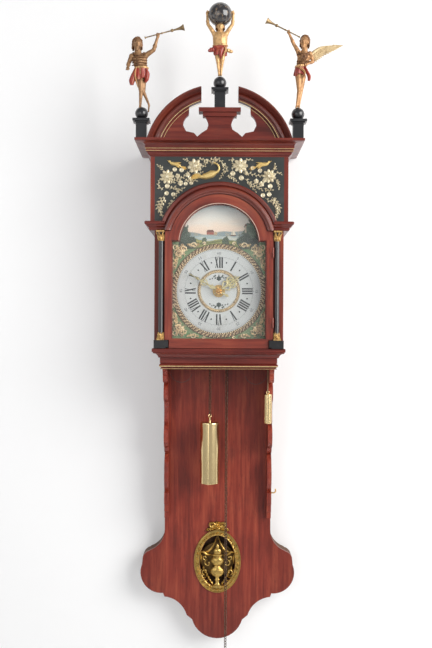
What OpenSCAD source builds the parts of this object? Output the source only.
// Frisian tail clock: a wall clock with a hood, an arched dial and a long shaped tail.
// X is right, Y is into the wall, Z is up. The wall is the plane y = 0 and the clock's
// front faces -Y. The origin is the centre of the hanging hole, on the wall.

/* [Tail] */
// Width of the straight part of the tail
tail_w = 270; // [262:2:280]
// How far each ear stands out past the straight part
ear_reach = 61.5; // [58:0.5:64]
// Height of the middle of the ears below the hanging hole
ear_drop = 965; // [955:5:985]
// Radius of the round outer edge of an ear
ear_r = 53.5; // [52:0.5:55]
// Thickness of the backboard
back_t = 12; // [10:1:14]
// Clear depth of the box that the pendulum swings in
box_depth = 30; // [28:1:36]
// Thickness of the tail's front board
front_t = 8; // [6:0.5:10]
// Thickness of the strip that closes the box at its edge
rim_t = 8; // [6:0.5:10]
// Half width of the oval pendulum window
window_rx = 45; // [42:1:46]
// Half height of the oval pendulum window
window_rz = 65; // [62:1:67]
// Thickness of a side bracket
bracket_t = 11; // [9:0.5:12]
// Distance from the underside of the seat board to a bracket's lower end
bracket_h = 412; // [405:1:425]

/* [Seat and waist] */
// Height of the hood's foot below the hanging hole
waist_drop = 389; // [385:1:395]
// Thickness of the board that the movement stands on
seat_t = 15; // [12:1:18]
// Depth of the waist moulding's widest step past the seat board
waist_out = 24.5; // [23.5:0.5:27]
// Depth of the case from the wall to the front of the seat board
seat_depth = 184; // [182:1:187]

/* [Hood] */
// Width of the hood between the outer faces of its sides
hood_w = 310; // [306:2:316]
// Thickness of the hood's side boards
side_t = 10; // [8:1:11]
// Thickness of the hood's front frame behind the door
frame_t = 12; // [10:1:12]
// How far the frieze stands out past the hood's sides and front frame
frieze_out = 10; // [9:0.5:12]
// Height of the frieze's upper edge above the hanging hole
frieze_top = 70; // [68:1:74]
// Height of the cornice's upper face above the frieze's upper edge
cornice_h = 39; // [38:1:44]
// Depth of the cornice's ledge past the frieze
cornice_out = 36; // [34:1:40]
// Upper edge of the imposts below the hanging hole
impost_drop = 85; // [84:1:86]
// Height of an impost
impost_h = 22; // [21:1:23]
// Depth of the imposts past the hood's sides and front frame
impost_out = 23; // [21:1:25]
// Diameter of a column's shaft
column_d = 11.8; // [10:0.2:12.4]
// Gap between the door's edge and a column's shaft
column_gap = 3.2; // [2.4:0.2:4]

/* [Door] */
// Distance from the door's edge to the outer face of the hood's side
door_side = 25.5; // [25:0.5:29]
// Thickness of the door
door_t = 13.5; // [12:0.5:14]
// Width of the door's stiles
stile_w = 16; // [14:0.5:18]
// Height of the arch's middle below the hanging hole
arch_drop = 138; // [136:0.5:140]
// How far the door's round top is drawn in from its edges
arch_step = 11; // [10:0.5:14]
// Width of the door's round top
arch_rail_w = 22.5; // [20:0.5:24]
// Width of the moulding round the door's arch
arch_mould_w = 28.5; // [25:0.5:30]
// Thickness of the glass
glass_t = 2.4; // [2:0.2:3]

/* [Dial and hands] */
// Height of the dial's middle below the hanging hole
dial_drop = 250; // [249:0.5:251]
// Distance from the dial plate's front to the front of the seat board
dial_back_off = 16; // [14:1:18]
// Radius of the white chapter disc
chapter_r = 102; // [98:1:104]
// Width of the cast ring round the chapter disc
ring_w = 13; // [11:1:14]
// Length of the minute hand from the middle
minute_len = 88; // [80:1:92]
// Length of the hour hand from the middle
hour_len = 64; // [58:1:70]
// Radius of the alarm disc
alarm_disc_r = 15; // [14:0.5:18]

/* [Movement] */
// Width of the movement's plates
plates_w = 96; // [92:2:104]
// Distance between the outer faces of the two train bars
bars_depth = 80; // [78:1:82]
// Radius at which the chain runs round the sprocket
chain_r = 20.5; // [19.5:0.5:21.5]
// Distance from the front of the train bars back to the chain
chain_behind = 44; // [43:1:45]
// Teeth of the great wheel
great_teeth = 78; // [72:6:84]
// Module of the great wheel and its pinion
great_module = 0.9; // [0.86:0.02:0.94]
// Distance of the pendulum's plane from the wall
pendulum_depth = 27; // [26:0.5:28]
// Length from the pendulum's pivot to the middle of its bob
pendulum_len = 764; // [740:4:790]
// Radius of the bob
bob_r = 45; // [40:1:50]

/* [Weights and chain] */
// Diameter of the main weight
weight_d = 48; // [44:1:52]
// Length of the main weight
weight_len = 154; // [140:2:170]
// Top of the main weight below the hanging hole
weight_drop = 574; // [570:2:600]
// Distance between one chain link and the next
link_pitch = 6.5; // [6.3:0.1:6.8]
// Diameter of the chain's wire
wire_d = 1.4; // [1.2:0.1:1.5]
// Width of a link
link_w = 6.2; // [5.8:0.2:6.6]
// Links in the free end of the chain
free_links = 131; // [120:1:140]
// Diameter of the alarm weight
alarm_weight_d = 18.6; // [16:0.2:19.4]
// Length of the alarm weight
alarm_weight_len = 72; // [66:1:80]
// Top of the alarm weight below the hanging hole
alarm_weight_drop = 501; // [500:1:520]
// Distance from the dial's front back to the alarm weight's cord
alarm_behind = 18; // [17:0.5:19]

/* [Pediment and figures] */
// Outer radius of the broken arch
pediment_r = 180; // [176:1:184]
// Width of the broken arch's moulding
pediment_band = 31; // [28:1:33]
// Distance of the middle of the broken arch above the hanging hole
pediment_z = 58; // [54:1:60]
// Height of the plinth's top above the middle of the broken arch
plinth_rise = 127; // [124:1:132]
// Height of the globe's middle above the ball under the figure
globe_rise = 164.5; // [160:0.5:168]
// Distance of each arch's cut end from the clock's middle
arch_gap = 44; // [43:1:47]
// Width of a pedestal's block
pedestal_w = 25.6; // [24:0.2:27]
// Height of the side pedestals up to their balls
side_pedestal_h = 50.5; // [48:0.5:56]
// Height of the middle pedestal up to its ball
mid_pedestal_h = 47.5; // [45:0.5:54]
// Radius of the ball on the middle pedestal
ball_r = 15.5; // [14.5:0.5:16.5]
// Radius of the globe
globe_r = 28.5; // [27:0.5:30]

/* [Hanging hole] */
// Diameter of the hole that goes over the wall hook
hang_d = 10; // [8:0.5:12]
// Thickness of the hanging plate
plate_t = 2.5; // [2:0.1:3]

/* [Hidden] */
$fn = 64;

eps = 0.01;
// Gap between a turning arbor and its hole, on the radius
fit = 0.05;
// Gap between parts that slide or swing past each other
clear = 0.3;
// Gap between the tips of a wheel and the pinion beside it
tip_gap = 0.15;

// Levels and planes of the case
tail_half = tail_w / 2;
seat_half = tail_half;
hood_foot = -waist_drop;
seat_top = hood_foot - 6;
seat_under = seat_top - seat_t;
box_back = -back_t;
box_front = -(back_t + box_depth);
board_front = box_front - front_t;
ear_z = -ear_drop;
ornament_z = ear_z + 29;
back_top = frieze_top - 18;
bracket_out = seat_half;
bracket_in = bracket_out - bracket_t;

// Levels and planes of the hood
hood_half = hood_w / 2;
door_half = hood_half - door_side;
rail_half = door_half - 10.5;
block_out = 20;
door_w = 2 * door_half;
glaze_w = door_w - 2 * stile_w;
door_r = door_half - arch_step;
glaze_r = door_r - arch_rail_w;
arch_out_r = door_r + arch_mould_w;
column_x = door_half + column_gap + column_d / 2;
frame_front = -(seat_depth + 7);
frame_back = frame_front + frame_t;
frieze_half = hood_half + frieze_out;
frieze_front = frame_front - frieze_out;
cornice_top = frieze_top + cornice_h;
roof_t = 12;
roof_under = cornice_top - roof_t;
impost_top = -impost_drop;
impost_foot = impost_top - impost_h;
hood_sole = hood_foot + 0.2;
plinth_top = hood_foot + 20;
arch_z = -arch_drop;
sight_foot = hood_foot + 24;
shoulder_z = arch_z + 8;
hood_rear = -2;

// Planes of the door
door_back = frame_front - clear;
door_front = door_back - door_t;
hinge_x = door_half - 0.3;
hinge_y = door_front - 1.6;
hinge_levels = [hood_foot + 62, impost_foot - 52];

// Movement layout: every arbor lies above the last on the middle line
dial_z = -dial_drop;
dial_front = -(seat_depth - dial_back_off);
dial_back = dial_front + 2;
great_dist = great_module * (great_teeth + 26) / 2;
great_z = dial_z - great_dist;
third_module = 0.8;
third_z = dial_z + third_module * (64 + 8) / 2;
escape_module = 0.7;
escape_z = third_z + escape_module * (60 + 7) / 2;
pivot_z = escape_z + 25.75;
plate_under = pivot_z + 14;
plate_h = 4;
movement_foot = seat_top + plate_h;
bar_y0 = dial_front + 19;
bar_y1 = bar_y0 + bars_depth;
bar_t = 3;
plates_front = bar_y0 - 4;
motion_dist = 32;
motion_z = dial_z - motion_dist;
chain_y = bar_y0 + chain_behind;
bell_y = chain_y;
bell_r = 40;
bell_foot = plate_under + plate_h + 6;
bell_h = 32;
hammer_x = 45;
hammer_z = plate_under + plate_h + 8;
alarm_y = dial_front + alarm_behind;
drum_r = 20;
cord_r = 0.9;
alarm_x = bracket_in - 3;
drum_x = alarm_x - drum_r - cord_r;
drum_z = seat_top + 65;
pendulum_y = -pendulum_depth;

// Each run of chain ends in a ring that its last link hooks into
main_links = 2 * floor((great_z + weight_drop - 13) / link_pitch / 2);
main_end = great_z - main_links * link_pitch;
free_end = great_z - free_links * link_pitch;
link_slack = 0.1;
ring_wire_r = 1.3;
hook_z = clear + ring_wire_r - link_slack;
weight_ring_r = 4.2;
free_ring_r = 8;

// Pedestals and figures
figure_y = frieze_front + 6;
pedestal_inset = 0.7;
pedestal_x = frieze_half + cornice_out - pedestal_inset - pedestal_w / 2;
plinth_cap_top = pediment_z + plinth_rise;
mid_ball_z = plinth_cap_top + mid_pedestal_h + ball_r;
side_ball_z = cornice_top + side_pedestal_h + ball_r - 1;
globe_z = mid_ball_z + globe_rise;

mahogany = [0.40, 0.13, 0.08];
dark_wood = [0.30, 0.10, 0.07];
ebony = [0.06, 0.05, 0.05];
gilt = [0.80, 0.64, 0.34];
brass = [0.78, 0.60, 0.28];
iron = [0.25, 0.25, 0.27];
white = [0.93, 0.93, 0.90];

// Points along an arc in the plane of a sketch
function arc(cx, cy, r, a0, a1, n = 10) =
    [for (i = [0:n]) let (a = a0 + (a1 - a0) * i / n) [cx + r * cos(a), cy + r * sin(a)]];

function ellipse(rx, ry, n = 64) =
    [for (i = [0:n - 1]) [rx * cos(i * 360 / n), ry * sin(i * 360 / n)]];

function mirrored(pts) = [for (i = [len(pts) - 1:-1:0]) [-pts[i][0], pts[i][1]]];

// Right half of the tail's outline, drawn in by d, from its upper end to its foot
function tail_half_outline(d, top) = concat(
    [[tail_half - d, top]],
    arc(tail_half + 56, ear_z + 109, 56 + d, 180, 250),
    arc(tail_half + ear_reach - 28.5, ear_z + 31, 24 - d, 75, 20, 4),
    arc(tail_half + ear_reach - ear_r, ear_z, ear_r - d, 22, -95, 14),
    arc(tail_half + 6, ear_z - 128, 66 + d, 95, 163.5, 8),
    arc(0, ear_z - 102, 66.5 - d, -16, -90, 8)
);

function tail_outline(d, top) =
    let (half = tail_half_outline(d, top)) concat(half, mirrored(half));

// A plate cut to a sketch in x and z, between two depths
module plate(y_back, y_front) {
    translate([0, y_back, 0]) rotate([90, 0, 0]) linear_extrude(y_back - y_front) children();
}

// A box given by its two corners
module block(a, b) {
    translate([min(a[0], b[0]), min(a[1], b[1]), min(a[2], b[2])])
        cube([abs(b[0] - a[0]), abs(b[1] - a[1]), abs(b[2] - a[2])]);
}

// A round bar along Y
module rod_y(x, z, r, y_back, y_front) {
    translate([x, y_back, z]) rotate([90, 0, 0]) cylinder(r = r, h = y_back - y_front);
}

// A moulding that runs along the left side, the front and the right side of a box.
// Its sketch has its distance out from the box in x and its height in y.
module moulding(half, front, rear, reach) {
    run = rear - front + reach;
    intersection() {
        translate([half + reach, front, 0]) rotate([90, 0, -90])
            linear_extrude(2 * (half + reach)) children();
        translate([0, 0, -2000]) linear_extrude(4000) polygon([
            [-half, front], [half, front],
            [half + reach, front - reach], [-half - reach, front - reach]
        ]);
    }
    for (side = [0, 1]) mirror([side, 0, 0]) intersection() {
        translate([half, rear, 0]) rotate([90, 0, 0]) linear_extrude(run) children();
        translate([0, 0, -2000]) linear_extrude(4000) polygon([
            [half, front - eps], [half, rear], [half + reach, rear], [half + reach, front - reach - eps]
        ]);
    }
}

// Wheel or pinion with n teeth whose tips stay just inside its pitch circle
module gear(n, mod, t, spokes = 0) {
    tip = n * mod / 2 - tip_gap;
    root = tip - 1.5 * mod;
    linear_extrude(t) difference() {
        polygon([for (i = [0:n - 1]) for (p = [[0, root], [0.30, root], [0.42, tip], [0.72, tip]])
            let (a = (i + p[0]) * 360 / n) [p[1] * cos(a), p[1] * sin(a)]]);
        if (spokes > 0) difference() {
            circle(root - 2.6);
            circle(5.5);
            for (i = [0:spokes - 1]) rotate(i * 360 / spokes)
                translate([-1.6, 0]) square([3.2, root]);
        }
    }
}

// A gear with its axis along Y at a height, its front face at y_front
module gear_at(z, y_front, n, mod, t, spokes = 0, x = 0) {
    translate([x, y_front + t, z]) rotate([90, 0, 0]) gear(n, mod, t, spokes);
}

// One oval chain link, long in Z, in the plane XZ
module link() {
    bend = link_w / 2 - wire_d / 2;
    half = link_pitch / 2 + wire_d / 2 + link_slack - bend;
    for (end = [0, 1]) mirror([0, 0, end]) translate([0, 0, half]) rotate([90, 0, 0])
        rotate_extrude(angle = 180, $fn = 24) translate([bend, 0]) circle(wire_d / 2, $fn = 16);
    for (side = [-1, 1]) translate([side * bend, 0, -half])
        cylinder(r = wire_d / 2, h = 2 * half, $fn = 16);
}

// A hanging run of links, each turned a quarter from the last
module chain(x, y, top, count) {
    for (i = [0:count - 1]) translate([x, y, top - (i + 0.5) * link_pitch])
        rotate([0, 0, 45 + 90 * (i % 2)]) link();
}

// A limb with round ends
module limb(a, b, ra, rb) {
    hull() {
        translate(a) sphere(ra, $fn = 14);
        translate(b) sphere(rb, $fn = 14);
    }
}

module backboard() {
    color(dark_wood) difference() {
        union() {
            plate(0, box_back) polygon(tail_outline(0, seat_under));
            block([-tail_half, 0, seat_under], [tail_half, box_back, back_top]);
        }
        rod_y(0, 0, hang_d / 2 + 9, 1, box_back - 1);
        block([-30, 1, -25], [30, -plate_t, 25]);
    }
}

module hanging_plate() {
    color(iron) difference() {
        block([-30 + 0.1, 0, -25 + 0.1], [30 - 0.1, -plate_t, 25 - 0.1]);
        rod_y(0, 0, hang_d / 2, 1, -plate_t - 1);
        for (x = [-23, 23]) for (z = [-18, 18]) rod_y(x, z, 2, 1, -plate_t - 1);
    }
    color(brass) for (x = [-23, 23]) for (z = [-18, 18])
        rod_y(x, z, 2, 0, -plate_t);
}

module tail_rim() {
    color(dark_wood) plate(box_back, box_front) difference() {
        polygon(tail_outline(0, seat_under));
        polygon(tail_outline(rim_t, seat_under + 10));
    }
}

module tail_front_board() {
    color(mahogany) plate(box_front, board_front) difference() {
        intersection() {
            polygon(tail_outline(0, seat_under));
            translate([-tail_half, -3000]) square([tail_w, 6000]);
        }
        translate([0, ornament_z]) polygon(ellipse(window_rx, window_rz));
    }
}

module tail_ears() {
    color(mahogany) plate(box_front, board_front) for (side = [0, 1]) mirror([side, 0])
        intersection() {
            polygon(tail_outline(0, seat_under));
            translate([tail_half, -3000]) square([200, 6000]);
        }
}

// Side bracket: depth in front of the tail in x, height below the seat board in y
module bracket_sketch() {
    deep = seat_depth + board_front;
    belly = deep - 48;
    polygon(concat(
        [[0, 0], [deep, 0]],
        arc(deep, -44, 10, 90, 180, 6),
        arc(deep - 25, -50, 13, 60, -80, 8),
        [[belly - 16, -64]],
        arc(belly - 24, -90, 24, 60, -60, 8),
        [[belly - 26, -116], [belly - 30, -122]],
        arc(belly - 2, -144, 34, 145, 215, 6),
        arc(40, -200, 30, 70, -70, 8),
        [[40, -232], [36, -240]],
        arc(-20, -300, 62, 55, -45, 8),
        [[34, -(bracket_h - 66)], [34, -(bracket_h - 37)], [26, -(bracket_h - 35)]],
        [[26, -(bracket_h - 18)], [18, -(bracket_h - 16)], [18, -bracket_h], [0, -bracket_h]]
    ));
}

module tail_brackets() {
    color(mahogany) for (x = [-bracket_out, bracket_in])
        translate([x, board_front, seat_under]) rotate([90, 0, 90]) linear_extrude(bracket_t)
            mirror([1, 0]) bracket_sketch();
}

module seat_board() {
    color(dark_wood) difference() {
        block([-seat_half, box_back, seat_under], [seat_half, -seat_depth, seat_top]);
        for (side = [-1, 1]) translate([side * chain_r, chain_y, seat_under - 1])
            cylinder(r = 10, h = seat_t + 2);
        translate([alarm_x, alarm_y, seat_under - 1]) cylinder(r = cord_r + 1.2, h = seat_t + 2);
        block([-32, box_back + 1, seat_under - 1], [32, box_front + 2, seat_top + 1]);
    }
}

module waist_moulding() {
    low = hood_foot - 50;
    color(mahogany) moulding(seat_half, -seat_depth, hood_rear, waist_out) polygon(concat(
        [[0, hood_foot], [waist_out - 1, hood_foot]],
        [[waist_out, hood_foot - 1.5], [waist_out, hood_foot - 8], [waist_out - 2.5, hood_foot - 9]],
        arc(waist_out - 2.5, hood_foot - 24, 12.5, 90, 170, 6),
        [[6, hood_foot - 23], [6, low + 14], [4, low + 13.5]],
        arc(4, low + 9, 4, 80, -80, 6),
        [[4, low + 4], [2.5, low + 3.5], [2.5, low + 2], [5, low + 2], [5, low], [0, low]]
    ));
}

// Cast oval with its crest, and the urn that stands in it
module tail_ornament() {
    rx = window_rx + 14;
    rz = window_rz + 14;
    color(gilt) {
        plate(board_front, board_front - 5) translate([0, ornament_z]) {
            difference() {
                polygon(ellipse(rx, rz));
                polygon(ellipse(window_rx - 1, window_rz - 1));
            }
            polygon(concat(
                [[-18, rz - 5], [-32, rz - 1], [-30, rz + 8], [-16, rz + 12]],
                arc(0, rz + 16, 10, 160, 20, 6),
                [[16, rz + 12], [30, rz + 8], [32, rz - 1], [18, rz - 5]]
            ));
        }
        plate(board_front, board_front - 4) translate([0, ornament_z]) {
            polygon([
                [-16, 1 - window_rz], [16, 1 - window_rz], [12, 8 - window_rz], [5, -48],
                [5, -42], [15, -33], [21, -14], [21, 4], [13, 12], [9, 18], [14, 24], [7, 30],
                [3, 42], [30, 50], [2, window_rz], [-2, window_rz], [-30, 50], [-3, 42],
                [-7, 30], [-14, 24], [-9, 18], [-13, 12], [-21, 4], [-21, -14], [-15, -33],
                [-5, -42], [-5, -48], [-12, 8 - window_rz]
            ]);
            for (side = [-1, 1]) difference() {
                translate([side * 32, 2]) circle(14);
                translate([side * 32, 2]) circle(9.5);
            }
        }
    }
}

module winding_hook() {
    z = seat_under - bracket_h + 64;
    y = board_front - 16;
    reach = 6;
    color(brass) {
        translate([bracket_out, y, z]) rotate([0, 90, 0]) cylinder(r = 1.6, h = reach);
        translate([bracket_out + reach, y, z + 6]) rotate([90, 0, 0])
            rotate([0, 0, -90]) rotate_extrude(angle = 130) translate([6, 0]) circle(1.6);
        translate([bracket_out, y, z]) rotate([0, 90, 0]) cylinder(r = 4, h = 1.2);
    }
}

// Two iron plates, with the lugs that carry the alarm hammer
module movement_plates() {
    half = plates_w / 2;
    color(iron) {
        difference() {
            block([-half, plates_front, seat_top], [half, bar_y1 + 4, movement_foot]);
            for (side = [-1, 1]) translate([side * chain_r, chain_y, seat_top - 1])
                cylinder(r = 9, h = plate_h + 2);
        }
        difference() {
            union() {
                block([-half, plates_front, plate_under], [half, bar_y1 + 4, plate_under + plate_h]);
                for (y = [bell_y - 7, bell_y + 5]) block(
                    [hammer_x - 3, y, plate_under + plate_h - eps], [hammer_x + 3, y + 2, hammer_z + 3]
                );
            }
            rod_y(hammer_x, hammer_z, 1.5 + fit, bell_y + 9, bell_y - 9);
        }
    }
}

module movement_pillars() {
    x = plates_w / 2 - 8;
    h = plate_under - movement_foot;
    color(brass) for (sx = [-1, 1]) for (y = [plates_front + 6, bar_y1 - 2])
        translate([sx * x, y, movement_foot]) {
            cylinder(r = 3.4, h = h);
            for (z = [0, h - 5]) translate([0, 0, z]) cylinder(r = 5.4, h = 5);
            for (z = [12, h / 2 - 3, h - 18]) translate([0, 0, z]) cylinder(r = 5, h = 6);
        }
}

// Two upright bars that the arbors turn in
module movement_bars() {
    color(iron) for (y = [bar_y0 + bar_t, bar_y1]) difference() {
        block([-9, y, movement_foot], [9, y - bar_t, plate_under]);
        rod_y(0, great_z, 2.5 + fit, y + 1, y - bar_t - 1);
        rod_y(0, dial_z, 1.5 + fit, y + 1, y - bar_t - 1);
        rod_y(0, third_z, 1.4 + fit, y + 1, y - bar_t - 1);
        rod_y(0, escape_z, 1.2 + fit, y + 1, y - bar_t - 1);
        rod_y(0, pivot_z, 1.8 + fit, y + 1, y - bar_t - 1);
    }
    color(iron) rod_y(0, motion_z, 1.5, bar_y0 + eps, bar_y0 - 13);
}

// Arm behind the movement that the pendulum hangs from
module pendulum_cock() {
    y = bar_y1 + 4;
    color(brass) {
        block([-10, bar_y1 - 6, plate_under + plate_h], [10, pendulum_y + 9, plate_under + plate_h + 4]);
        block([-4, pendulum_y + 9, pivot_z - 5], [4, pendulum_y + 5.5, plate_under + plate_h + eps]);
        rod_y(0, pivot_z, 1.5, pendulum_y + 6, pendulum_y - 5);
    }
}

module bell_stand() {
    foot = plate_under + plate_h;
    color(iron) {
        translate([0, bell_y, foot]) cylinder(r = 3, h = bell_foot + bell_h - foot + 6);
        translate([0, bell_y, foot]) cylinder(r = 7, h = 3);
        translate([0, bell_y, bell_foot + bell_h + 0.1]) cylinder(r = 6, h = 4, $fn = 6);
        translate([0, bell_y, bell_foot + bell_h - 5.6]) cylinder(r = 5, h = 3);
    }
}

module bell() {
    color(brass) translate([0, bell_y, bell_foot]) rotate_extrude() polygon(concat(
        [[3 + fit, bell_h], [3 + fit, bell_h - 2.5]],
        arc(10, 3, bell_h - 5.5 - 3 + 3, 90, 20, 6),
        [[bell_r - 3, 2], [bell_r - 2.4, 0], [bell_r, 0], [bell_r - 0.5, 3]],
        arc(10, 3, bell_h - 3, 14, 90, 6)
    ));
}

// Plate on the seat board with the stud for the alarm drum
module alarm_frame() {
    y = alarm_y + 8;
    color(iron) {
        block([drum_x - 14, y + 3, seat_top], [drum_x + 14, y, drum_z + 14]);
        block([drum_x - 14, y + 26, seat_top], [drum_x + 14, y, seat_top + 3]);
        rod_y(drum_x, drum_z, 2.5, y + eps, y - 15);
    }
}

// Painted dial plate: a square with an arch on it
module dial_plate() {
    half = glaze_w / 2 + 6;
    foot = sight_foot - 12;
    color([0.25, 0.42, 0.24]) difference() {
        union() {
            plate(dial_back, dial_front) {
                translate([-half, foot]) square([2 * half, shoulder_z + 6 - foot]);
                difference() {
                    translate([0, arch_z]) circle(glaze_r + 3);
                    translate([-200, arch_z - 200]) square([400, 200]);
                }
            }
            for (x = [-32, 32]) {
                rod_y(x, plate_under + 2, 1.9, plates_front, dial_back - eps);
                block([x - 4, dial_back - eps, seat_top], [x + 4, dial_back + 2, foot + 6]);
            }
        }
        rod_y(0, dial_z, 8, dial_back + 1, dial_front - 1);
    }
}

module chapter_disc() {
    color(white) difference() {
        rod_y(0, dial_z, chapter_r, dial_front, dial_front - 2);
        rod_y(0, dial_z, 6, dial_front + 1, dial_front - 3);
    }
}

// Cast ring round the chapter disc, ring round its middle, and four corner mounts
module dial_mounts() {
    inner = chapter_r + clear;
    outer = inner + ring_w;
    half = glaze_w / 2;
    color(gilt) {
        translate([0, dial_front, dial_z]) rotate([90, 0, 0]) rotate_extrude()
            polygon(concat([[inner, 0]], arc((inner + outer) / 2, 0.5, ring_w / 2 - 1, 165, 15, 8),
                [[outer, 0]]));
        translate([0, dial_front - 2, dial_z]) rotate([90, 0, 0]) rotate_extrude()
            polygon([[47, 0], [47.6, 1.4], [50.4, 1.4], [51, 0]]);
        plate(dial_front, dial_front - 3) for (sx = [-1, 1]) difference() {
            union() {
                translate([(sx - 1) * half / 2, sight_foot]) square([half, half]);
                translate([(sx - 1) * half / 2, shoulder_z - half]) square([half, half]);
            }
            translate([0, dial_z]) circle(outer + 1);
            translate([-30, shoulder_z - 20]) square([60, 40]);
        }
    }
}

// The bit of chain that lies over the top of the sprocket
module chain_over_sprocket() {
    n = 2 * ceil(PI * chain_r / link_pitch / 2);
    color(iron) for (i = [0:n - 1]) let (a = (i + 0.5) * 180 / n)
        translate([chain_r * cos(a), chain_y, great_z + chain_r * sin(a)]) rotate([0, -a, 0])
            rotate([0, 0, 135 + 90 * (i % 2)]) link();
}

// Hands: sketches point up, then turn to the time shown
minute_at = 300;
hour_at = 55;

module minute_hand() {
    color(gilt) {
        difference() {
            union() {
                translate([0, dial_front - 9, dial_z]) rotate([0, minute_at, 0]) plate(0, -1.4) {
                    circle(7);
                    polygon([[-2.4, 5], [-1.6, 40], [-3.2, 46], [-1.2, 52], [-0.9, minute_len - 8],
                        [0, minute_len], [0.9, minute_len - 8], [1.2, 52], [3.2, 46], [1.6, 40], [2.4, 5]]);
                    polygon([[-1.6, 0], [-2.6, -24], [0, -29], [2.6, -24], [1.6, 0]]);
                }
                rod_y(0, dial_z, 3.2, bar_y0 - 1.5, dial_front - 12);
            }
            rod_y(0, dial_z, 1.5 + fit, 0, dial_front - 13);
        }
    }
    color(brass) difference() {
        gear_at(dial_z, bar_y0 - 5, 20, 0.8, 3);
        rod_y(0, dial_z, 3, 0, -200);
    }
}

module hour_hand() {
    color(gilt) difference() {
        union() {
            translate([0, dial_front - 6, dial_z]) rotate([0, hour_at, 0]) plate(0, -1.4) {
                circle(8.5);
                difference() {
                    polygon([[-2.2, 6], [-2.2, 26], [-9, 34], [-9, 40], [-2, 46], [-1.6, hour_len - 6],
                        [0, hour_len], [1.6, hour_len - 6], [2, 46], [9, 40], [9, 34], [2.2, 26], [2.2, 6]]);
                    for (s = [-1, 1]) translate([s * 4.2, 36.5]) circle(2.4);
                }
                polygon([[-1.4, -5], [-1, -13], [1, -13], [1.4, -5]]);
            }
            rod_y(0, dial_z, 4.8, bar_y0 - 8, dial_front - 6.5);
        }
        rod_y(0, dial_z, 3.2 + fit, 0, dial_front - 13);
    }
    color(brass) difference() {
        gear_at(dial_z, bar_y0 - 11, 60, 0.8533, 2, 4);
        rod_y(0, dial_z, 4.6, 0, -200);
    }
}

module alarm_disc() {
    color(brass) difference() {
        rod_y(0, dial_z, alarm_disc_r, dial_front - 2.4, dial_front - 4.2);
        rod_y(0, dial_z, 4.8 + fit, 0, dial_front - 5);
    }
}

module motion_wheel() {
    color(brass) difference() {
        union() {
            gear_at(motion_z, bar_y0 - 5, 60, 0.8, 3, 4);
            gear_at(motion_z, bar_y0 - 11.5, 15, 0.8533, 6.6);
            rod_y(0, motion_z, 4, bar_y0 - 1.5, bar_y0 - 5);
        }
        rod_y(0, motion_z, 1.5 + fit, 0, -200);
    }
}

// Great wheel and the chain sprocket on one arbor
module great_wheel() {
    seat_r = chain_r - (link_w - wire_d) / 2 * cos(45) - wire_d / 2 - clear;
    color(brass) {
        gear_at(great_z, chain_y + 6, great_teeth, great_module, 2.5, 5);
        rod_y(0, great_z, 6.5, chain_y + 6.5, chain_y + 4);
        translate([0, chain_y, great_z]) rotate([90, 0, 0]) rotate_extrude() polygon([
            [0, -5.6], [chain_r + 3, -5.6], [chain_r + 3, -4.8], [seat_r, -4.2],
            [seat_r, 4.2], [chain_r + 3, 4.8], [chain_r + 3, 5.6], [0, 5.6]
        ]);
    }
    color(iron) rod_y(0, great_z, 2.5, bar_y1 - eps, bar_y0 + eps);
}

module centre_wheel() {
    color(brass) {
        gear_at(dial_z, bar_y0 + 29, 64, third_module, 2, 4);
        gear_at(dial_z, chain_y + 5, 26, great_module, 4.5);
    }
    color(iron) rod_y(0, dial_z, 1.5, bar_y1 - eps, dial_front - 13);
}

module third_wheel() {
    color(brass) {
        gear_at(third_z, bar_y0 + 19, 60, escape_module, 2, 4);
        gear_at(third_z, bar_y0 + 28, 8, third_module, 4);
    }
    color(iron) rod_y(0, third_z, 1.4, bar_y1 - eps, bar_y0 + eps);
}

module escape_wheel() {
    color(brass) {
        translate([0, bar_y1 - 18, escape_z]) rotate([90, 0, 0]) linear_extrude(2) difference() {
            polygon([for (i = [0:29]) for (p = [[0, 14.5], [0.15, 17.5], [0.3, 17.3], [0.6, 14.5]])
                let (a = (i + p[0]) * 12) [p[1] * cos(a), p[1] * sin(a)]]);
            difference() {
                circle(12.4);
                circle(4.5);
                for (i = [0:3]) rotate(i * 90) translate([-1.2, 0]) square([2.4, 14]);
            }
        }
        gear_at(escape_z, bar_y0 + 18, 7, escape_module, 4);
    }
    color(iron) rod_y(0, escape_z, 1.2, bar_y1 - eps, bar_y0 + eps);
}

// Anchor, its arbor and the crutch that leads the pendulum
module anchor() {
    rise = pivot_z - escape_z;
    color(iron) {
        rod_y(0, pivot_z, 1.8, bar_y1 + 13, bar_y0 + eps);
        plate(bar_y1 - 17.5, bar_y1 - 20.5) translate([0, pivot_z]) {
            circle(4.5);
            for (s = [-1, 1]) polygon([
                [s * 1, 4], [s * 12, -1], [s * 17, -8], [s * 15.6, -rise + 13.5],
                [s * 13.8, -rise + 14.5], [s * 13.6, -9], [s * 9.5, -4.5], [s * 2, -2]
            ]);
        }
        plate(bar_y1 + 13, bar_y1 + 11) translate([0, pivot_z]) {
            circle(4);
            translate([-1.8, -42]) square([3.6, 42]);
        }
        for (s = [-1, 1]) rod_y(s * 2.7, pivot_z - 40, 0.8, pendulum_y + 4, bar_y1 + 12.5);
        rod_y(0, pivot_z - 40, 4.2, bar_y1 + 14, bar_y1 + 11);
    }
}

module pendulum_rod() {
    color(brass) {
        difference() {
            rod_y(0, pivot_z, 4, pendulum_y + 2.5, pendulum_y - 2.5);
            rod_y(0, pivot_z, 1.5 + fit, pendulum_y + 4, pendulum_y - 4);
        }
        translate([0, pendulum_y, pivot_z - pendulum_len - bob_r - 12])
            cylinder(r = 1.6, h = pendulum_len + bob_r + 12 - 3.2);
    }
}

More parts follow.
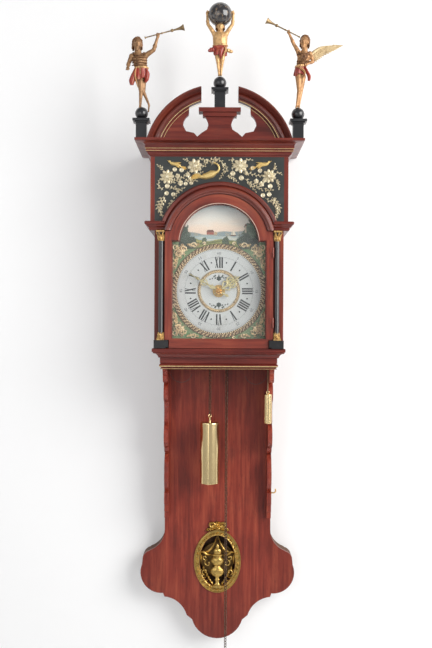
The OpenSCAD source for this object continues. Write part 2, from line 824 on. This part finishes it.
module pendulum_bob() {
    z = pivot_z - pendulum_len;
    color(brass) difference() {
        translate([0, pendulum_y, z]) rotate([90, 0, 0]) rotate_extrude() polygon([
            [0, -6.5], [bob_r - 2, -4.5], [bob_r, -2.8], [bob_r, 2.8], [bob_r - 2, 4.5], [0, 6.5]
        ]);
        translate([0, pendulum_y, z - bob_r - 1]) cylinder(r = 1.6, h = 2 * bob_r + 2);
    }
    color(iron) translate([0, pendulum_y, z - bob_r - 6.2]) difference() {
        cylinder(r = 5, h = 6);
        translate([0, 0, -1]) cylinder(r = 1.6, h = 8);
    }
}

module main_chain() {
    color(iron) chain(-chain_r, chain_y, great_z, main_links);
}

module main_weight() {
    r = weight_d / 2;
    color(brass) {
        translate([-chain_r, chain_y, -weight_drop - weight_len]) rotate_extrude() polygon(concat(
            [[0, 0], [r - 1.5, 0], [r, 1.5], [r, weight_len - 4]],
            arc(r - 4, weight_len - 4, 4, 0, 90, 5), [[0, weight_len]]
        ));
        translate([-chain_r, chain_y, -weight_drop - eps])
            cylinder(r = 2.6, h = main_end + hook_z - 2 * weight_ring_r + weight_drop);
    }
    color(iron) translate([-chain_r, chain_y, main_end + hook_z - weight_ring_r]) rotate([90, 0, 45])
        rotate_extrude() translate([weight_ring_r, 0]) circle(ring_wire_r);
}

module free_chain() {
    color(iron) chain(chain_r, chain_y, great_z, free_links);
}

module chain_ring() {
    color(brass) translate([chain_r, chain_y, free_end + hook_z - free_ring_r])
        rotate([90, 0, 45 + 90 * (free_links % 2)]) rotate_extrude()
            translate([free_ring_r, 0]) circle(ring_wire_r);
}

// Drum on the right of the movement, with the wheel that works the hammer
module alarm_drum() {
    y = alarm_y + 7.6;
    color(brass) difference() {
        union() {
            rod_y(drum_x, drum_z, drum_r + 3.4, y, y - 1.4);
            rod_y(drum_x, drum_z, drum_r, y, y - 13);
            translate([drum_x, y - 12, drum_z]) rotate([90, 0, 0]) linear_extrude(1.6)
                polygon([for (i = [0:35]) for (p = [[0, drum_r - 0.6], [0.1, drum_r + 3.2]])
                    let (a = (i + p[0]) * 10) [p[1] * cos(a), p[1] * sin(a)]]);
        }
        rod_y(drum_x, drum_z, 2.5 + fit, 0, -200);
    }
}

module alarm_cord() {
    end = -alarm_weight_drop + 8.2;
    color([0.75, 0.68, 0.52]) translate([alarm_x + clear, alarm_y, end])
        cylinder(r = cord_r, h = drum_z - end, $fn = 16);
}

module alarm_weight() {
    r = alarm_weight_d / 2;
    color(brass) translate([alarm_x + clear, alarm_y, -alarm_weight_drop - alarm_weight_len]) {
        rotate_extrude() polygon(concat(
            [[0, 0], [r - 1, 0], [r, 1], [r, alarm_weight_len - 2]],
            arc(r - 2, alarm_weight_len - 2, 2, 0, 90, 4), [[0, alarm_weight_len]]
        ));
        translate([0, 0, alarm_weight_len + 4]) rotate([90, 0, 0])
            rotate_extrude() translate([3.2, 0]) circle(1);
    }
}

// Hammer for the alarm: it tips towards the bell and springs back
module alarm_hammer() {
    head_z = bell_foot + 14;
    head_x = bell_r + 7.5;
    color(iron) {
        rod_y(hammer_x, hammer_z, 1.5, bell_y + 8, bell_y - 8);
        rod_y(hammer_x, hammer_z, 3, bell_y + 2, bell_y - 2);
        translate([hammer_x, bell_y, hammer_z]) rotate([0, atan2(head_x - hammer_x, head_z - hammer_z), 0])
            cylinder(r = 1.2, h = head_z - hammer_z);
        translate([head_x - 4, bell_y, head_z]) rotate([0, 90, 0]) cylinder(r = 4, h = 9);
    }
}

module hood_sides() {
    color(mahogany) for (side = [0, 1]) mirror([side, 0, 0]) {
        block([hood_half - side_t, hood_rear, hood_sole], [hood_half, frame_back, impost_top + eps]);
        translate([0, 0, impost_top]) linear_extrude(roof_under - impost_top) polygon([
            [hood_half - side_t, hood_rear], [frieze_half, hood_rear], [frieze_half, frieze_front],
            [hood_half, frieze_front], [hood_half, frame_back], [hood_half - side_t, frame_back]
        ]);
    }
}

module hood_roof() {
    color(dark_wood) block([-frieze_half, hood_rear, roof_under],
        [frieze_half, frieze_front, cornice_top]);
}

// Fixed frame behind the door, open to the dial
module hood_front_frame() {
    half = glaze_w / 2 - 2;
    color(mahogany) plate(frame_back, frame_front) difference() {
        translate([-hood_half, hood_sole]) square([hood_w, roof_under - hood_sole]);
        translate([-half, sight_foot - 2]) square([2 * half, shoulder_z - sight_foot]);
        translate([0, arch_z]) circle(glaze_r - 1.5);
    }
}

module frieze_panel() {
    edge = door_half + 0.8;
    color(ebony) plate(frame_front, frieze_front) difference() {
        union() {
            translate([-hood_half, impost_top]) square([hood_w, roof_under - impost_top]);
            translate([-edge, impost_foot]) square([2 * edge, impost_h + 1]);
        }
        translate([0, arch_z]) circle(door_r + 1);
    }
}

module cornice() {
    z = frieze_top;
    d = cornice_out;
    color(mahogany) moulding(frieze_half, frieze_front, hood_rear, d) polygon(concat(
        [[0, z], [1, z], [2.5, z + 2]],
        arc(0.5, z + 9.5, 7, -75, 0, 4),
        [[10, z + 10.5], [11, z + 11.5], [11, z + 17], [13, z + 19], [13, z + 26]],
        arc(d - 14.5, z + 22.5, 9, 150, 90, 4),
        [[d - 6, z + 32], [d, z + 33.5], [d, cornice_top], [0, cornice_top]]
    ));
}

// Round moulding over the door, standing on the imposts
module arch_moulding() {
    inner = door_r + 1;
    outer = arch_out_r;
    w = outer - inner;
    color(mahogany) intersection() {
        translate([0, frieze_front, arch_z]) rotate([90, 0, 0]) rotate_extrude($fn = 128) polygon(concat(
            [[inner, 0], [inner, 7], [inner + 3, 9]],
            arc(inner + w * 0.38, 8, w * 0.22, 165, 15, 6),
            [[inner + w * 0.66, 8], [inner + w * 0.7, 12], [outer - 2.5, 14], [outer, 12], [outer, 0]]
        ));
        plate(1, -400) union() {
            translate([-200, impost_top]) square([400, 200]);
            translate([-door_half - 0.6, impost_foot]) square([door_w + 1.2, impost_h + 1]);
        }
    }
}

module imposts() {
    d = impost_out;
    color(mahogany) difference() {
        moulding(hood_half, frame_front, hood_rear, d) polygon([
            [0, impost_foot], [11, impost_foot], [13, impost_foot + 3], [13, impost_foot + 7],
            [17, impost_foot + 10], [19, impost_foot + 13], [d - 2, impost_foot + 14],
            [d, impost_foot + 15.5], [d, impost_top - 1.5], [d - 2, impost_top], [0, impost_top]
        ]);
        block([-door_half - 0.8, 0, -1000], [door_half + 0.8, -400, 1000]);
    }
}

// Keyhole cut in the pediment: a bulb with a pointed foot and a neck open at the top
module keyhole() {
    x = arch_gap + 13.5;
    z = pediment_z + 86;
    polygon(concat(
        arc(x, z, 30, 0, 55, 6),
        [[x + 16, z + 30], [x + 16, z + 120], [x - 14, z + 120], [x - 14, z + 30]],
        arc(x, z, 30, 125, 180, 6),
        [[x - 27, z - 10], [x - 14, z - 18], [x - 4, z - 27], [x + 4, z - 18], [x + 23, z - 14]]
    ));
}

module pediment_board() {
    y = frieze_front - 6;
    cap = plinth_cap_top;
    color(mahogany) {
        plate(y + 14, y) difference() {
            translate([0, pediment_z]) circle(pediment_r - pediment_band + 1, $fn = 128);
            translate([-300, cornice_top - 400]) square([600, 400]);
            keyhole();
            mirror([1, 0]) keyhole();
            translate([-arch_gap, cap - 20]) square([2 * arch_gap, 200]);
        }
        block([-40.5, y + 20, cap - 20 - eps], [40.5, y - 5, cap - 10]);
        block([-50, y + 24, cap - 10 - eps], [50, y - 10, cap]);
    }
}

module pediment_arches() {
    outer = pediment_r;
    w = pediment_band;
    y = frieze_front - 6;
    color(mahogany) difference() {
        translate([0, y + 14, pediment_z]) rotate([90, 0, 0]) rotate_extrude($fn = 128) polygon(concat(
            [[outer - w + 1, 0], [outer - w + 1, 14], [outer - w, 14], [outer - w, 19]],
            [[outer - w + 3, 21]], arc(outer - w * 0.62, 19, w * 0.2, 165, 20, 6),
            [[outer - w * 0.34, 26], [outer - 4, 34], [outer, 34], [outer, 0]]
        ));
        block([-300, 100, cornice_top - 600], [300, -400, cornice_top]);
        block([-arch_gap, 100, 0], [arch_gap, -400, 400]);
    }
}

module pedestal(x, foot, h) {
    w = pedestal_w;
    translate([x, figure_y, foot]) {
        translate([-w / 2, -w / 2, 0]) cube([w, w, h - 9]);
        translate([-w / 2 - 3, -w / 2 - 3, h - 9 - eps]) cube([w + 6, w + 6, 3]);
        translate([-w / 2 - 7.5, -w / 2 - 7.5, h - 6 - eps]) cube([w + 15, w + 15, 6]);
        translate([0, 0, h + ball_r - 1]) sphere(ball_r);
    }
}

module pedestals() {
    color(ebony) {
        for (s = [-1, 1]) pedestal(s * pedestal_x, cornice_top, side_pedestal_h);
        pedestal(0, plinth_cap_top, mid_pedestal_h + 1);
    }
}

// Standing man who holds the globe over his head, cut to fit the ball and the globe
module atlas_figure() {
    z = mid_ball_z + ball_r;
    up = globe_z - z;
    head_z = up - globe_r - 7;
    color(gilt) translate([0, figure_y, z]) difference() {
        union() {
            for (s = [-1, 1]) {
                limb([s * 4, 0, 2], [s * 5.5, 0, 28], 3, 4.6);
                limb([s * 5.5, 0, 28], [s * 7, 0, 56], 4.6, 8);
                limb([s * 14, 0, up - 47], [s * 29.5, 0, up - 24], 5.2, 4.6);
                limb([s * 29.5, 0, up - 24], [s * (globe_r + 2.6), 0, up + 2], 4.6, 3.4);
            }
            limb([0, 0, 60], [0, 0, 74], 15, 14.5);
            limb([0, 0, 74], [0, 0, up - 56], 14, 16);
            limb([0, -1, head_z - 4], [0, -1, head_z], 7.5, 7.5);
            limb([0, 0, up - 56], [0, 0, up - 44], 8, 6);
        }
        translate([0, 0, -ball_r]) sphere(ball_r);
        translate([0, 0, up]) sphere(globe_r, $fn = 96);
    }
}

module globe() {
    color(ebony) translate([0, figure_y, globe_z]) sphere(globe_r, $fn = 96);
}

// Standing figure with its chest lean to one side, and its free leg trailing to back_foot
module trumpeter(lean, back_foot) {
    difference() {
        union() {
            limb([-3, 0, 2], [0, 0, 38], 3, 5);
            limb([0, 0, 38], [0, 0, 70], 5, 8);
            limb(back_foot, [5, 2, 40], 3, 5);
            limb([5, 2, 40], [5, 0, 70], 5, 8);
            limb([2, 0, 72], [2, 0, 97], 16, 12);
            limb([2, 0, 97], [lean, 0, 121], 12, 15);
            limb([lean, 0, 121], [lean * 1.3, 0, 142], 9, 8);
            limb([lean * 1.5, 0, 146], [lean * 1.5, 0, 157], 10, 11);
        }
        translate([0, 0, -ball_r]) sphere(ball_r);
    }
}

module trumpeter_left() {
    color(gilt) difference() {
        translate([-pedestal_x, figure_y, side_ball_z + ball_r]) {
            trumpeter(-6, [16, 9, -4]);
            limb([8, -1, 124], [29, -4, 136], 6, 5);
            limb([29, -4, 136], [39, -8, 171], 5, 4);
            limb([-20, 0, 122], [-32, 2, 106], 6, 5);
            limb([-32, 2, 106], [-33, -8, 90], 5, 4);
        }
        trumpets();
    }
}

module trumpeter_right() {
    color(gilt) difference() {
        translate([pedestal_x, figure_y, side_ball_z + ball_r]) {
            trumpeter(11, [2, 3, 5]);
            limb([1, -1, 132], [-11, -4, 152], 6, 4.5);
            limb([-11, -4, 152], [-23.5, -9, 179], 4.5, 4);
            limb([26, 0, 130], [36, 1, 112], 6, 4.5);
            limb([36, 1, 112], [20, -8, 102], 4.5, 3.5);
        }
        trumpets();
    }
    color(gilt) translate([pedestal_x, 0, side_ball_z + ball_r]) plate(figure_y + 12, figure_y + 9)
        polygon([
            [8, 132], [36, 138], [52, 147.5], [82, 151.5], [109, 153.5], [98, 147], [99, 144.5],
            [87, 141], [88, 138], [76, 135], [77, 131.5], [65, 129], [66, 125], [56, 122],
            [57, 118], [47, 113.5], [30, 116], [10, 118]
        ]);
}

// A straight horn from its mouthpiece to its bell
module trumpet(from, to) {
    v = to - from;
    l = norm(v);
    translate(from) rotate([0, acos(v[2] / l), atan2(v[1], v[0])]) {
        cylinder(r = 1.8, h = l - 12);
        translate([0, 0, l * 0.66]) sphere(4);
        translate([0, 0, l - 24]) cylinder(r1 = 1.8, r2 = 7, h = 24);
        cylinder(r = 3, h = 3);
    }
}

module trumpets() {
    z = side_ball_z + ball_r;
    y = figure_y - 9;
    color(brass) {
        trumpet([-pedestal_x + 7, y, z + 163], [-pedestal_x + 101, y, z + 189]);
        trumpet([pedestal_x + 3, y, z + 167], [pedestal_x - 77, y - 5, z + 204.5]);
    }
}

// Column shafts and the blocks that they stand on
module columns() {
    y = frame_front - column_d / 2 - 4;
    color(ebony) for (s = [-1, 1]) {
        translate([s * column_x, y, plinth_top + 11])
            cylinder(r = column_d / 2, h = impost_foot - 25 - plinth_top - 11);
        block([s * (rail_half + 1.5), frame_front, hood_foot + 3],
            [s * hood_half, frame_front - block_out, plinth_top]);
        block([s * (column_x - 12), frame_front, hood_sole],
            [s * hood_half, frame_front - block_out, hood_foot + 3 + eps]);
    }
}

// Gilt capitals and bases of the two columns
module column_mounts() {
    y = frame_front - column_d / 2 - 4;
    r = column_d / 2;
    cap = impost_foot - 25;
    color(gilt) difference() {
        for (s = [-1, 1]) {
            translate([s * column_x, y, cap]) {
                cylinder(r = r + 1.2, h = 3);
                translate([0, 0, 3 - eps]) cylinder(r1 = r, r2 = r + 4.2, h = 18);
                translate([-12, -11, 21 - eps]) cube([24, 20, 4]);
            }
            translate([s * column_x, y, plinth_top]) {
                translate([-9.5, -9.5, 0]) cube([19, 19, 4]);
                cylinder(r = r + 2.6, h = 8);
                cylinder(r = r + 1.2, h = 11);
            }
        }
        block([-door_half - 0.8, 0, -1000], [door_half + 0.8, -400, 1000]);
    }
}

// Door outline, with its foot set in between the column blocks
module door_outline() {
    foot = hood_foot + 1;
    translate([-rail_half, foot]) square([2 * rail_half, plinth_top - foot + 2]);
    translate([-door_half, plinth_top + 0.6]) square([door_w, impost_foot - plinth_top - 1.4]);
    intersection() {
        translate([0, arch_z]) circle(door_r, $fn = 128);
        translate([-200, impost_foot - 40]) square([400, 400]);
    }
}

module sight_outline(d) {
    half = glaze_w / 2 + d;
    translate([-half, sight_foot - d]) square([2 * half, shoulder_z - sight_foot + 2 * d]);
    translate([0, arch_z]) circle(glaze_r + d, $fn = 128);
}

module door_frame() {
    color(mahogany) difference() {
        union() {
            difference() {
                plate(door_back, door_front) door_outline();
                plate(1, -400) sight_outline(0);
                plate(1, door_back - 1.5 - glass_t - clear) sight_outline(5);
            }
            plate(door_back, door_back - 1.2) difference() {
                sight_outline(5 + eps);
                sight_outline(0);
            }
        }
        for (z = hinge_levels) translate([hinge_x, hinge_y, z - 12.4]) cylinder(r = 2.4, h = 24.8);
    }
    color(brass) for (z = hinge_levels) difference() {
        union() {
            translate([hinge_x, hinge_y, z]) cylinder(r = 2, h = 12);
            block([hinge_x - 1, hinge_y, z], [hinge_x - 8, door_front + eps, z + 12]);
        }
        translate([hinge_x, hinge_y, z - 1]) cylinder(r = 0.9 + fit, h = 14);
    }
}

module door_glass() {
    y = door_back - 1.5;
    color([0.8, 0.9, 0.95, 0.3]) plate(y + clear / 2, y - glass_t + clear / 2) sight_outline(4.6);
}

// Lower knuckle of each hinge with its pin, on the hood
module door_hinges() {
    color(brass) for (z = hinge_levels) {
        translate([hinge_x, hinge_y, z - 12]) cylinder(r = 2, h = 11.9);
        translate([hinge_x, hinge_y, z - 12]) cylinder(r = 0.9, h = 23);
        block([door_half + clear, hinge_y, z - 12], [door_half + clear + 1, frame_front, z - 0.1]);
    }
}

backboard();
hanging_plate();
tail_rim();
tail_front_board();
tail_ears();
tail_brackets();
seat_board();
waist_moulding();
tail_ornament();
winding_hook();
movement_plates();
movement_pillars();
movement_bars();
pendulum_cock();
bell_stand();
bell();
alarm_frame();
dial_plate();
chapter_disc();
dial_mounts();
chain_over_sprocket();
minute_hand();
hour_hand();
alarm_disc();
motion_wheel();
great_wheel();
centre_wheel();
third_wheel();
escape_wheel();
anchor();
pendulum_rod();
pendulum_bob();
main_chain();
main_weight();
free_chain();
chain_ring();
alarm_drum();
alarm_cord();
alarm_weight();
alarm_hammer();
hood_sides();
hood_roof();
hood_front_frame();
frieze_panel();
cornice();
arch_moulding();
imposts();
pediment_board();
pediment_arches();
pedestals();
atlas_figure();
globe();
trumpeter_left();
trumpeter_right();
trumpets();
columns();
column_mounts();
door_frame();
door_glass();
door_hinges();
